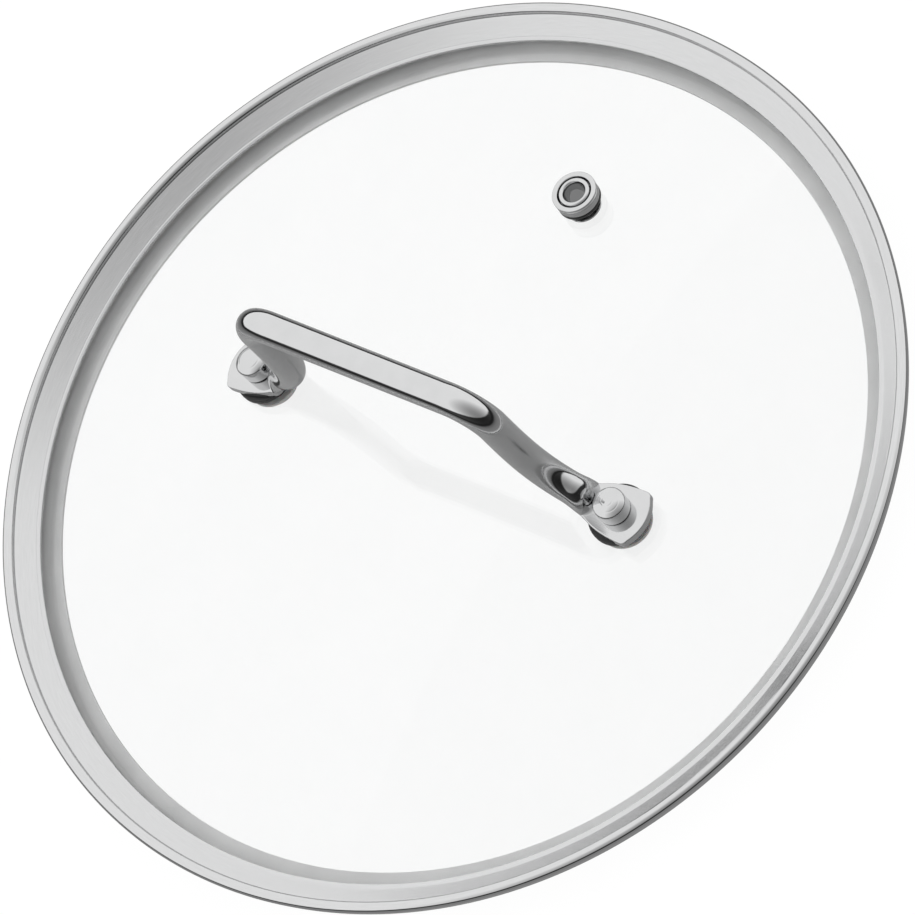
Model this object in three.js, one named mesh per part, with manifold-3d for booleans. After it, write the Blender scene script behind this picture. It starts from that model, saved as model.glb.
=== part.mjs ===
// Glass pan lid: a shallow dome of tempered glass in a roll-formed steel rim, with a bent-rod
// handle bolted through the glass and an eyeleted steam vent.
//
// Millimetres, +Z up. The lid lies on the flat foot of its rim, with the origin at the middle of
// that ring. +X runs along the handle and +Y points at the vent.

import * as THREE from 'three';
import { mergeVertices } from 'three/addons/utils/BufferGeometryUtils.js';
import Module from 'manifold-3d';

const wasm = await Module();
wasm.setup();

// ---------------------------------------------------------------- driving dimensions

const CLEARANCE = 0.3; // between pieces that touch on the real lid

const RIM_RADIUS = 130; // outside of the bead
const RIM_SEGMENTS = 48;
const SHEET = 0.7; // thickness of the rim's steel strip
const BEAD_RADIUS = 1.6; // outside radius of the rolled bead
const BEAD_Z = 9.7; // height of the bead's centre
const BEAD_START = 205; // where the flange runs into the bead, in degrees
const WALL_INSET = 0.45; // the outer wall draws in this far below the bead
const SEAT_Z = 7; // underside of the web that sits on a pan's rim
const SEAT_INNER_RADIUS = 126; // the flat seat ends here and slopes down to the skirt
const LIP_RADIUS = 120.6; // inner edge of the upper lip
const LIP_CURL = 0.05; // the lip's edge lifts this much off the glass
const LIP_PRESS = [1.2, -0.1]; // lowest point of the lip, outward from its edge and down
const LIP_RISE = [1.9, 0.15]; // the flange climbs from here to the bead
const SKIRT_SLOPE = [0.7, 1.3]; // outward from the skirt, and below the web
const SKIRT_START = 2.1; // the skirt begins this far below the web
const FOOT_INNER_RADIUS = 119.5; // the flat foot runs from here to the skirt
const JAW_RADIUS = 115.7; // inner edge of the lower jaw, seen through the glass
const JAW_RISE = 0.63; // the jaw climbs this much, in step with the glass above it
const BEND = 0.9; // bends in the strip, along its middle

const GLASS_RADIUS = 122.5;
const GLASS_THICKNESS = 4;
const GLASS_SPHERE = 740; // radius of the dome's upper surface
const GLASS_EDGE_Z = 1.05; // underside of the glass at its edge
const GLASS_RINGS = 7;

const FOOT_X = 59.3; // handle fixings, either side of the centre
const FIXING_HOLE_RADIUS = 4;
const FIXING_SEGMENTS = 20;
const BORE_RADIUS = 2.8; // clearance bore through paddle, gaskets and washers

const ROD_RADIUS = 4.35;
const ROD_SIDES = 14;
const ROD_STEPS = 46;
const BAR_Z = 65.5; // centreline of the bar
const BAR_HALF_LENGTH = 29.4; // straight stretch, from the middle to the bend
const BEND_RADIUS = 10;
const LEG_PULL_TOP = 15; // how strongly the leg keeps upright below the bend
const LEG_PULL_FOOT = 6.5; // and how late it turns outward over the paddle
const NOSE_X = 51.6; // where the rod ends on the paddle
const NOSE_BULGE = 1.5;

const PADDLE_THICKNESS = 2.6;
const PADDLE_INNER = -9.5; // along the paddle, from its bolt
const PADDLE_NECK = [-7.2, 5.1]; // along the paddle, and half of its width there
const PADDLE_SWELL = [-2.2, 7.7]; // pulls the sides outward
const PADDLE_SIDE_END = [5.6, 7.75];
const PADDLE_CORNER = [7.1, 7.8];
const PADDLE_TIP_START = [7.5, 6.4];
const PADDLE_TIP = 9.5;

const SOFT_EASE = 0.3; // small rounding on gaskets and nuts
const HARD_EASE = 0.15; // and on washers
const GASKET_RADIUS = 8.5;
const GASKET_EASE = 0.5;
const GASKET_THICKNESS = 1.6;
const GASKET_STUB_RADIUS = 3.6;
const NUT_RADIUS = 4.5;
const NUT_HEIGHT = 6;
const NUT_DOME = 1.6;
const NUT_EDGE = 0.2; // the side stops this far below the dome
const NUT_BORE_RADIUS = 2.7;
const NUT_BORE_DEPTH = 4.2;
const SCREW_RADIUS = 2.4;
const SCREW_REACH = 9; // tip of the screw, above the glass
const SCREW_HEAD_RADIUS = 4.8;
const SCREW_HEAD_HEIGHT = 2.3;
const SCREW_CROWN = [0.62, 0.9]; // of the head's radius, at its face and its shoulder
const SCREW_SHOULDER = [0.5, 1.3]; // heights above the face
const SCREW_CHAMFER = 0.6;
const RECESS_LENGTH = 4.6;
const RECESS_WIDTH = 1;
const RECESS_DEPTH = 1.3;
const LOWER_GASKET_RADIUS = 7.5;
const LOWER_GASKET_THICKNESS = 1.2;
const LOWER_WASHER_RADIUS = 6.5;
const LOWER_WASHER_THICKNESS = 1;

const VENT_Y = 75.3;
const VENT_SEGMENTS = 24;
const VENT_GLASS_HOLE = 4;
const VENT_BORE_RADIUS = 2.75;
const EYELET_WALL = 0.6;
const EYELET_ROLL = 0.65; // section radius of the rolled top of the eyelet
const EYELET_FLARE_RADIUS = 4.8;
const COLLAR_RADIUS = 6.2;
const COLLAR_HEIGHT = 3.4;
const COLLAR_RECESS_RADIUS = 4.8;
const COLLAR_RECESS_DEPTH = 1.5;
const COLLAR_EASE = 0.45;
const COLLAR_TAPER = [0.1, 0.15]; // the recess starts this far down and narrows this much
const EYELET_MOUTH = 0.6; // chamfer at the lower end of the steam bore
const EYELET_PROUD = 0.1; // the rolled top stands above the collar
const EYELET_DROP = 0.35; // and turns down this far inside the bore
const VENT_GASKET_EASE = 0.2;
const VENT_GASKET_RADIUS = 6.1;
const VENT_GASKET_THICKNESS = 0.8;

// ---------------------------------------------------------------- materials

const material = (color, roughness, metalness) =>
  new THREE.MeshStandardMaterial({ color, roughness, metalness });

const polishedSteel = material(0xc9cbcc, 0.14, 1);
const satinSteel = material(0xb8babc, 0.34, 1);
const blackSilicone = material(0x161616, 0.6, 0);
const paleSilicone = material(0xb9bab8, 0.55, 0);
const clearGlass = material(0xeef2f1, 0.03, 0);
clearGlass.transparent = true;
clearGlass.opacity = 0.25;

// ---------------------------------------------------------------- shared geometry

// A profile of [radius, height] points turned about Z. It runs anticlockwise.
function turned(profile, segments) {
  const points = profile.map(([r, z]) => new THREE.Vector2(r, z));
  return new THREE.LatheGeometry(points, segments).rotateX(Math.PI / 2);
}

// A flat ring with its edges eased by a small chamfer.
function ring(inner, outer, bottom, top, ease, segments) {
  return turned([
    [inner, bottom],
    [outer - ease, bottom],
    [outer, bottom + ease],
    [outer, top - ease],
    [outer - ease, top],
    [inner, top],
    [inner, bottom],
  ], segments);
}

// Points along an arc in a profile, from one angle to another, in degrees.
function arc(centreR, centreZ, radius, from, to, steps) {
  const at = (i) => THREE.MathUtils.degToRad(THREE.MathUtils.lerp(from, to, i / steps));
  return Array.from({ length: steps + 1 }, (_, i) => [
    centreR + radius * Math.cos(at(i)),
    centreZ + radius * Math.sin(at(i)),
  ]);
}

// A closed outline of a bent strip, from its centreline.
function strip(centreline, thickness) {
  const side = (sign) => centreline.map(([r, z], i) => {
    const [r0, z0] = centreline[Math.max(i - 1, 0)];
    const [r1, z1] = centreline[Math.min(i + 1, centreline.length - 1)];
    const length = Math.hypot(r1 - r0, z1 - z0);
    const half = (sign * thickness) / 2;
    return [r + (half * (z1 - z0)) / length, z - (half * (r1 - r0)) / length];
  });
  const near = side(1);
  const outline = [...near, ...side(-1).reverse()];
  return [...outline, near[0]];
}

function toSolid(geometry) {
  const bare = geometry.clone();
  bare.deleteAttribute('normal');
  bare.deleteAttribute('uv');
  const merged = mergeVertices(bare.index ? bare.toNonIndexed() : bare, 1e-4);
  const index = merged.index.array;
  const kept = [];
  for (let i = 0; i < index.length; i += 3) {
    const [a, b, c] = index.slice(i, i + 3);
    if (a !== b && b !== c && c !== a) kept.push(a, b, c);
  }
  return new wasm.Manifold(new wasm.Mesh({
    numProp: 3,
    vertProperties: new Float32Array(merged.attributes.position.array),
    triVerts: new Uint32Array(kept),
  }));
}

function toGeometry(solid) {
  const { vertProperties, triVerts } = solid.getMesh();
  const geometry = new THREE.BufferGeometry();
  geometry.setAttribute('position', new THREE.BufferAttribute(vertProperties, 3));
  geometry.setIndex(new THREE.BufferAttribute(triVerts, 1));
  return geometry;
}

function cutter(radius, bottom, top, segments) {
  return turned([[0, bottom], [radius, bottom], [radius, top], [0, top]], segments);
}

// ---------------------------------------------------------------- the dome and its stations

const SPHERE_Z = GLASS_EDGE_Z - Math.sqrt((GLASS_SPHERE - GLASS_THICKNESS) ** 2 - GLASS_RADIUS ** 2);

const glassTop = (r) => SPHERE_Z + Math.sqrt(GLASS_SPHERE ** 2 - r ** 2);

// A frame standing on the glass, with its Z along the glass's normal and its X pointing outward.
function station(radius, azimuth) {
  const frame = new THREE.Group();
  frame.position.set(radius * Math.cos(azimuth), radius * Math.sin(azimuth), glassTop(radius));
  frame.rotation.set(0, Math.asin(radius / GLASS_SPHERE), azimuth, 'ZYX');
  frame.updateMatrix();
  return frame;
}

const fixings = { a: station(FOOT_X, 0), b: station(FOOT_X, Math.PI) };
const vent = station(VENT_Y, Math.PI / 2);

function glassDome() {
  const inner = GLASS_SPHERE - GLASS_THICKNESS;
  const surface = (radius, from, to) => {
    const angle = (r) => 90 - THREE.MathUtils.radToDeg(Math.asin(r / radius));
    return arc(0, SPHERE_Z, radius, angle(from), angle(to), GLASS_RINGS);
  };
  const ease = 0.5;
  const below = surface(inner, 0, GLASS_RADIUS - ease);
  const above = surface(GLASS_SPHERE, GLASS_RADIUS - ease, 0);
  const edge = [
    [GLASS_RADIUS, below.at(-1)[1] + ease],
    [GLASS_RADIUS, above[0][1] - ease],
  ];
  below[0][0] = 0;
  above.at(-1)[0] = 0;
  let dome = toSolid(turned([...below, ...edge, ...above], RIM_SEGMENTS));
  const depth = GLASS_THICKNESS * 2;
  for (const frame of Object.values(fixings)) {
    const drill = cutter(FIXING_HOLE_RADIUS, -depth, depth, FIXING_SEGMENTS);
    dome = dome.subtract(toSolid(drill.applyMatrix4(frame.matrix)));
  }
  const ventDrill = cutter(VENT_GLASS_HOLE, -depth, depth, VENT_SEGMENTS);
  dome = dome.subtract(toSolid(ventDrill.applyMatrix4(vent.matrix)));
  return toGeometry(dome);
}

// ---------------------------------------------------------------- the rim

function rimBand() {
  const half = SHEET / 2;
  const beadR = RIM_RADIUS - BEAD_RADIUS;
  const wallR = RIM_RADIUS - WALL_INSET - half;
  const skirtR = GLASS_RADIUS + CLEARANCE + half;
  const lipZ = glassTop(LIP_RADIUS) + CLEARANCE + half;
  const webZ = SEAT_Z + half;
  const centreline = [
    [LIP_RADIUS, lipZ + LIP_CURL],
    [LIP_RADIUS + LIP_PRESS[0], lipZ + LIP_PRESS[1]],
    [LIP_RADIUS + LIP_RISE[0], lipZ + LIP_RISE[1]],
    ...arc(beadR, BEAD_Z, BEAD_RADIUS - half, BEAD_START, 0, 7),
    ...arc(wallR - BEND, webZ + BEND, BEND, 0, -90, 3),
    [SEAT_INNER_RADIUS, webZ],
    [skirtR + SKIRT_SLOPE[0], webZ - SKIRT_SLOPE[1]],
    [skirtR, webZ - SKIRT_START],
    ...arc(skirtR - BEND, half + BEND, BEND, 0, -90, 2),
    [FOOT_INNER_RADIUS, half],
    [JAW_RADIUS, half + JAW_RISE],
  ];
  return turned(strip(centreline, SHEET), RIM_SEGMENTS);
}

// ---------------------------------------------------------------- the handle

class RodLine extends THREE.CurvePath {
  constructor(legEnd) {
    super();
    const vector = (x, z) => new THREE.Vector3(x, 0, z);
    const bendX = BAR_HALF_LENGTH + BEND_RADIUS;
    const bendZ = BAR_Z - BEND_RADIUS;
    const square = 0.5523; // control length of a Bezier quarter circle
    const leg = (side) => [
      new THREE.CubicBezierCurve3(
        vector(side * BAR_HALF_LENGTH, BAR_Z),
        vector(side * (BAR_HALF_LENGTH + square * BEND_RADIUS), BAR_Z),
        vector(side * bendX, bendZ + square * BEND_RADIUS),
        vector(side * bendX, bendZ),
      ),
      new THREE.CubicBezierCurve3(
        vector(side * bendX, bendZ),
        vector(side * bendX, bendZ - LEG_PULL_TOP),
        vector(side * bendX, legEnd.z + LEG_PULL_FOOT),
        vector(side * legEnd.x, legEnd.z),
      ),
    ];
    const flip = (curve) => new THREE.CubicBezierCurve3(curve.v3, curve.v2, curve.v1, curve.v0);
    const [farBend, farLeg] = leg(-1);
    const bar = new THREE.LineCurve3(vector(-BAR_HALF_LENGTH, BAR_Z), vector(BAR_HALF_LENGTH, BAR_Z));
    this.curves.push(flip(farLeg), flip(farBend), bar, ...leg(1));
  }
}

function paddleOutline() {
  const shape = new THREE.Shape();
  const curve = ([cx, cy], [x, y], side) => shape.quadraticCurveTo(cx, side * cy, x, side * y);
  shape.moveTo(PADDLE_INNER, 0);
  curve([PADDLE_INNER, PADDLE_NECK[1]], PADDLE_NECK, -1);
  curve(PADDLE_SWELL, PADDLE_SIDE_END, -1);
  curve(PADDLE_CORNER, PADDLE_TIP_START, -1);
  curve([2 * PADDLE_TIP - PADDLE_TIP_START[0], 0], PADDLE_TIP_START, 1);
  curve(PADDLE_CORNER, PADDLE_SIDE_END, 1);
  curve(PADDLE_SWELL, PADDLE_NECK, 1);
  curve([PADDLE_INNER, PADDLE_NECK[1]], [PADDLE_INNER, 0], 1);
  return shape;
}

function handle() {
  const paddleBottom = CLEARANCE * 2 + GASKET_THICKNESS;
  const paddle = new THREE.ExtrudeGeometry(paddleOutline(), {
    depth: PADDLE_THICKNESS,
    bevelEnabled: false,
    curveSegments: 5,
  }).translate(0, 0, paddleBottom);

  // The rod's underside runs out flush with the underside of the paddle.
  const slope = Math.asin(FOOT_X / GLASS_SPHERE);
  const endAlong = NOSE_X - FOOT_X;
  const end = new THREE.Vector3(endAlong, 0, paddleBottom + ROD_RADIUS).applyMatrix4(fixings.a.matrix);
  const section = new THREE.Shape();
  section.absarc(0, 0, ROD_RADIUS, 0, 2 * Math.PI);
  const rod = new THREE.ExtrudeGeometry(section, {
    steps: ROD_STEPS,
    extrudePath: new RodLine(end),
    curveSegments: ROD_SIDES / 2,
  });

  let solid = toSolid(rod);
  for (const [name, frame] of Object.entries(fixings)) {
    const side = name === 'a' ? 1 : -1;
    const nose = new THREE.SphereGeometry(ROD_RADIUS - 0.02, ROD_SIDES, 8);
    nose.scale(NOSE_BULGE / ROD_RADIUS, 1, 1);
    nose.rotateY(slope);
    nose.scale(side, 1, 1);
    if (side < 0) nose.index.array.reverse();
    nose.translate(side * end.x, 0, end.z);
    solid = solid.add(toSolid(paddle.clone().applyMatrix4(frame.matrix)));
    solid = solid.add(toSolid(nose));
    const drill = cutter(BORE_RADIUS, paddleBottom - 1, paddleBottom + 8, FIXING_SEGMENTS);
    solid = solid.subtract(toSolid(drill.applyMatrix4(frame.matrix)));
  }
  return toGeometry(solid);
}

// ---------------------------------------------------------------- handle fixings

function upperGasket() {
  const bottom = CLEARANCE;
  return turned([
    [BORE_RADIUS, -GLASS_THICKNESS + CLEARANCE],
    [GASKET_STUB_RADIUS, -GLASS_THICKNESS + CLEARANCE],
    [GASKET_STUB_RADIUS, bottom],
    [GASKET_RADIUS, bottom],
    ...arc(
      GASKET_RADIUS - GASKET_EASE,
      bottom + GASKET_THICKNESS - GASKET_EASE,
      GASKET_EASE,
      0,
      90,
      2,
    ),
    [BORE_RADIUS, bottom + GASKET_THICKNESS],
    [BORE_RADIUS, -GLASS_THICKNESS + CLEARANCE],
  ], FIXING_SEGMENTS);
}

function domeNut() {
  const bottom = CLEARANCE * 3 + GASKET_THICKNESS + PADDLE_THICKNESS;
  const top = bottom + NUT_HEIGHT;
  const domeSphere = (NUT_RADIUS ** 2 + NUT_DOME ** 2) / (2 * NUT_DOME);
  const spread = THREE.MathUtils.radToDeg(Math.asin((NUT_RADIUS - SOFT_EASE) / domeSphere));
  const dome = arc(0, top - domeSphere, domeSphere, 90 - spread, 90, 5);
  dome.at(-1)[0] = 0;
  return turned([
    [0, bottom + NUT_BORE_DEPTH],
    [NUT_BORE_RADIUS, bottom + NUT_BORE_DEPTH],
    [NUT_BORE_RADIUS, bottom],
    [NUT_RADIUS - SOFT_EASE, bottom],
    [NUT_RADIUS, bottom + SOFT_EASE],
    [NUT_RADIUS, top - NUT_DOME - NUT_EDGE],
    ...dome,
  ], FIXING_SEGMENTS);
}

const LOWER_GASKET_TOP = -GLASS_THICKNESS - CLEARANCE;
const LOWER_WASHER_TOP = LOWER_GASKET_TOP - LOWER_GASKET_THICKNESS - CLEARANCE;
const SCREW_HEAD_TOP = LOWER_WASHER_TOP - LOWER_WASHER_THICKNESS - CLEARANCE;

function lowerGasket() {
  const bottom = LOWER_GASKET_TOP - LOWER_GASKET_THICKNESS;
  const top = LOWER_GASKET_TOP;
  return ring(BORE_RADIUS, LOWER_GASKET_RADIUS, bottom, top, SOFT_EASE, FIXING_SEGMENTS);
}

function lowerWasher() {
  const bottom = LOWER_WASHER_TOP - LOWER_WASHER_THICKNESS;
  const top = LOWER_WASHER_TOP;
  return ring(BORE_RADIUS, LOWER_WASHER_RADIUS, bottom, top, HARD_EASE, FIXING_SEGMENTS);
}

function screw() {
  const bottom = SCREW_HEAD_TOP - SCREW_HEAD_HEIGHT;
  const body = turned([
    [0, bottom],
    [SCREW_HEAD_RADIUS * SCREW_CROWN[0], bottom],
    [SCREW_HEAD_RADIUS * SCREW_CROWN[1], bottom + SCREW_SHOULDER[0]],
    [SCREW_HEAD_RADIUS, bottom + SCREW_SHOULDER[1]],
    [SCREW_HEAD_RADIUS, SCREW_HEAD_TOP],
    [SCREW_RADIUS, SCREW_HEAD_TOP],
    [SCREW_RADIUS, SCREW_REACH - SCREW_CHAMFER],
    [SCREW_RADIUS - SCREW_CHAMFER, SCREW_REACH],
    [0, SCREW_REACH],
  ], FIXING_SEGMENTS);
  let solid = toSolid(body);
  for (const turn of [0, Math.PI / 2]) {
    const slot = new THREE.BoxGeometry(RECESS_LENGTH, RECESS_WIDTH, 2 * RECESS_DEPTH);
    slot.rotateZ(turn);
    slot.translate(0, 0, bottom);
    solid = solid.subtract(toSolid(slot));
  }
  return toGeometry(solid);
}

// ---------------------------------------------------------------- the steam vent

const COLLAR_BOTTOM = 2 * CLEARANCE + VENT_GASKET_THICKNESS;
const COLLAR_TOP = COLLAR_BOTTOM + COLLAR_HEIGHT;
const EYELET_RADIUS = VENT_BORE_RADIUS + EYELET_WALL;
const FLARE_TOP = -GLASS_THICKNESS - CLEARANCE; // the tube is rolled out under the glass

function ventCollar() {
  const ease = COLLAR_EASE;
  return turned([
    [EYELET_RADIUS + CLEARANCE, COLLAR_BOTTOM],
    [COLLAR_RADIUS, COLLAR_BOTTOM],
    ...arc(COLLAR_RADIUS - ease, COLLAR_TOP - ease, ease, 0, 90, 2),
    [COLLAR_RECESS_RADIUS, COLLAR_TOP - COLLAR_TAPER[0]],
    [COLLAR_RECESS_RADIUS - COLLAR_TAPER[1], COLLAR_TOP - COLLAR_RECESS_DEPTH],
    [EYELET_RADIUS + CLEARANCE, COLLAR_TOP - COLLAR_RECESS_DEPTH],
    [EYELET_RADIUS + CLEARANCE, COLLAR_BOTTOM],
  ], VENT_SEGMENTS);
}

function ventEyelet() {
  const rollR = EYELET_RADIUS + EYELET_ROLL - EYELET_WALL / 2;
  const rollZ = COLLAR_TOP - EYELET_ROLL + EYELET_PROUD;
  const flareBottom = FLARE_TOP - EYELET_WALL;
  return turned([
    [VENT_BORE_RADIUS, flareBottom + EYELET_MOUTH],
    [VENT_BORE_RADIUS + EYELET_MOUTH, flareBottom],
    [EYELET_FLARE_RADIUS, flareBottom + EYELET_PROUD],
    [EYELET_FLARE_RADIUS, FLARE_TOP],
    [EYELET_RADIUS, FLARE_TOP],
    [EYELET_RADIUS, rollZ - EYELET_ROLL * 0.6],
    ...arc(rollR, rollZ, EYELET_ROLL, -35, 165, 6),
    [VENT_BORE_RADIUS, rollZ - EYELET_DROP],
    [VENT_BORE_RADIUS, flareBottom + EYELET_MOUTH],
  ], VENT_SEGMENTS);
}

const ventUpperGasket = () => ring(
  EYELET_RADIUS + CLEARANCE,
  VENT_GASKET_RADIUS,
  CLEARANCE,
  CLEARANCE + VENT_GASKET_THICKNESS,
  VENT_GASKET_EASE,
  VENT_SEGMENTS,
);

// ---------------------------------------------------------------- assembly

function named(name, geometry, surface) {
  const mesh = new THREE.Mesh(geometry, surface);
  mesh.name = name;
  return mesh;
}

const lid = new THREE.Group();
lid.add(named('glass_dome', glassDome(), clearGlass));
lid.add(named('rim_band', rimBand(), satinSteel));
lid.add(named('handle', handle(), polishedSteel));

for (const [side, frame] of Object.entries(fixings)) {
  frame.add(named(`dome_nut_${side}`, domeNut(), polishedSteel));
  frame.add(named(`upper_gasket_${side}`, upperGasket(), blackSilicone));
  frame.add(named(`lower_gasket_${side}`, lowerGasket(), paleSilicone));
  frame.add(named(`lower_washer_${side}`, lowerWasher(), satinSteel));
  frame.add(named(`screw_${side}`, screw(), satinSteel));
  lid.add(frame);
}

vent.add(named('vent_collar', ventCollar(), polishedSteel));
vent.add(named('vent_eyelet', ventEyelet(), polishedSteel));
vent.add(named('vent_upper_gasket', ventUpperGasket(), blackSilicone));
lid.add(vent);

export default lid;
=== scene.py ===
"""Glass pan lid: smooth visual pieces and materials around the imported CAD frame."""

import math

import bmesh
import bpy
from mathutils import Matrix, Vector


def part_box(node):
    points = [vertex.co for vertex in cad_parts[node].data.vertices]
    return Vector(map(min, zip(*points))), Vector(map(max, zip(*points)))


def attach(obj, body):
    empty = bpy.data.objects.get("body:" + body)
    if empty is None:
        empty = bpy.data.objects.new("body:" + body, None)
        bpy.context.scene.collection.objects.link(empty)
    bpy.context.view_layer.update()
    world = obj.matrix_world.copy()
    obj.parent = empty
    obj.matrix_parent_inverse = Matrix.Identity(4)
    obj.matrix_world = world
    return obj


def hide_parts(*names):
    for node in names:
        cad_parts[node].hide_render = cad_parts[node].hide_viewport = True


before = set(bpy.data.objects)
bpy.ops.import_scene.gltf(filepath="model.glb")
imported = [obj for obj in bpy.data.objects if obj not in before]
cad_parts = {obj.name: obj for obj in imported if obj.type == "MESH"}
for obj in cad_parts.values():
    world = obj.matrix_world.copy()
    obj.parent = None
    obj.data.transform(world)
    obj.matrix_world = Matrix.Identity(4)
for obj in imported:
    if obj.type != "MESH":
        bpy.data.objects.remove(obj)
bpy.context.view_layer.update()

MM = 0.001
BODY = "root"

# ---------------------------------------------------------------- driving dimensions, mm

CLEARANCE = 0.3  # between pieces that touch on the real lid

RIM_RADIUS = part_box("rim_band")[1].x / MM
SHEET = 0.7
BEAD_RADIUS = 1.6
BEAD_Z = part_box("rim_band")[1].z / MM - BEAD_RADIUS
WALL_INSET = 0.45
SEAT_Z = 7
SEAT_INNER_RADIUS = 126
LIP_RADIUS = 120.6
BEAD_START = 205  # degrees, where the flange runs into the bead
LIP_CURL = 0.05  # the lip's edge stands this much higher
LIP_PRESS = (1.2, -0.1)  # outward from that edge and up, where it lies lowest
LIP_RISE = (1.9, 0.15)  # and where it begins to climb to the bead
SKIRT_SLOPE = (0.7, 1.3)
FOOT_INNER_RADIUS = 119.5
JAW_RADIUS = 115.7
JAW_RISE = 0.63
BEND = 0.9
SEAT_EDGE = 0.5  # the bend beyond and inside the seat's inner edge
SEAT_DIP = (0.04, 0.25)  # it starts this far down, and ends there
SKIRT_BEND = ((0.2, 1.7), (0, 2.3))  # outward from the skirt, and below the web
JAW_START = (0.4, 0.06)  # inward from the foot, and up
RIM_SEGMENTS = 288

GLASS_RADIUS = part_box("glass_dome")[1].x / MM
GLASS_THICKNESS = 4
GLASS_SPHERE = 740
GLASS_EDGE_Z = 1.05
GLASS_EASE = 0.5
GLASS_EDGE_BAND = 0.6  # the ground edge and its rounding
SPHERE_FACING = 0.98  # cosine within which a face belongs to the dome's surfaces
SPHERE_Z = GLASS_EDGE_Z - math.sqrt((GLASS_SPHERE - GLASS_THICKNESS) ** 2 - GLASS_RADIUS**2)

FOOT_X = 59.3
FIXING_HOLE_RADIUS = 4
BORE_RADIUS = 2.8

ROD_RADIUS = 4.35
ROD_SIDES = 48
BAR_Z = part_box("handle")[1].z / MM - ROD_RADIUS
BAR_HALF_LENGTH = 29.4
BEND_RADIUS = 10
LEG_PULL_TOP = 15
LEG_PULL_FOOT = 6.5
LEG_END = -7.7  # along the paddle, from its bolt
NOSE_START = -12.5  # the round rod is pressed flat from here
NOSE_TIP = -6.0
NOSE_BULGE = 1.75  # the sides of the nose line lie this far behind its tip
NOSE_HALF = 4.9
NOSE_SUNK = 0.3  # its end lies this deep inside the paddle
NOSE_SQUARE = 0.7  # below 1 makes the end of the nose boxier than the round rod

PADDLE_THICKNESS = 2.6
PADDLE_INNER = -9.5
PADDLE_NECK = (-7.2, 5.1)
PADDLE_SWELL = (-2.2, 7.7)
PADDLE_SIDE_END = (5.6, 7.75)
PADDLE_CORNER = (7.1, 7.8)
PADDLE_TIP_START = (7.5, 6.4)
PADDLE_TIP = 9.5
PADDLE_EASE = 0.4
DRILL_BELOW = 1  # how far the drill passes the paddle's lower face
DRILL_ABOVE = 3.5  # and how far above that face it reaches

GASKET_RADIUS = 8.5
GASKET_THICKNESS = 1.6
GASKET_STUB_RADIUS = 3.6
NUT_RADIUS = 4.5
NUT_HEIGHT = 6
NUT_DOME = 1.6
NUT_BORE_RADIUS = 2.7
NUT_BORE_DEPTH = 4.2
NUT_EDGE = 0.3  # chamfer at its foot
NUT_EDGE_BEND = 0.08
NUT_RIM = 0.35  # the side rounds into the dome over this much
NUT_RIM_BEND = ((0.04, 0.12), (0.15, -0.05))  # inward, and below the foot of the dome
NUT_RING_DEPTH = 0.05  # concentric lathe marks on the dome
NUT_RINGS = 3
SOFT_EASE = 0.3  # rounding on gaskets
HARD_EASE = 0.15  # and on washers
UPPER_GASKET_EASE = 0.35
SCREW_RADIUS = 2.4
SCREW_REACH = 9
SCREW_HEAD_RADIUS = 4.8
SCREW_HEAD_HEIGHT = 2.3
SCREW_CROWN = ((0.62, 0), (0.78, 0.16), (0.9, 0.5), (0.97, 0.95), (1, 1.4))  # of the radius, and up
SCREW_EDGE = 0.1
THREAD_PITCH = 0.8
THREAD_DEPTH = 0.28
THREAD_START = 1.2
SCREW_CHAMFER = 0.6
RECESS_LENGTH = 4.6
RECESS_WIDTH = 1
RECESS_DEPTH = 1.3
LOWER_GASKET_RADIUS = 7.5
LOWER_GASKET_THICKNESS = 1.2
LOWER_WASHER_RADIUS = 6.5
LOWER_WASHER_THICKNESS = 1

VENT_Y = 75.3
VENT_GLASS_HOLE = 4
VENT_BORE_RADIUS = 2.75
EYELET_WALL = 0.6
EYELET_ROLL = 0.65
EYELET_FLARE_RADIUS = 4.8
COLLAR_RADIUS = 6.2
COLLAR_HEIGHT = 3.4
COLLAR_RECESS_RADIUS = 4.8
COLLAR_RECESS_DEPTH = 1.5
VENT_GASKET_RADIUS = 6.1
VENT_GASKET_THICKNESS = 0.8
VENT_GASKET_EASE = 0.2
COLLAR_EASE = 0.32
COLLAR_WAIST = 0.1  # the side below the groove is this much narrower
COLLAR_GROOVE = (1.25, 1.05, 0.8)  # its foot, its floor and its top, below the collar's top
COLLAR_GROOVE_DEPTH = 0.45
COLLAR_TAPER = (0.1, 0.15)  # the recess: down at its rim, and inward at its floor
EYELET_MOUTH = 0.6  # rounding of the bore's lower end
EYELET_MOUTH_BEND = 0.18
EYELET_FLARE_BEND = ((0.1, 0.04), (0, 0.15))  # inward from the flare's edge, and up
EYELET_ROLL_FOOT = 0.6  # of the roll's radius, below its middle
EYELET_EDGE = 0.08
EYELET_PROUD = 0.1  # the roll stands this much above the collar
EYELET_DROP = 0.35  # from the middle of the roll to where the bore begins

# ---------------------------------------------------------------- camera and studio

CAMERA_AZIMUTH = 71.44
CAMERA_ELEVATION = 54.85
CAMERA_ROLL = -45.90
CAMERA_DISTANCE = 2600
CAMERA_SCALE = 3.8198  # pixels per mm at the target
CAMERA_SHIFT = (1.952, -1.230)
CAMERA_TARGET = Vector((0, 0, 8))
IMAGE_HALF = 457.5
SENSOR = 36


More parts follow.
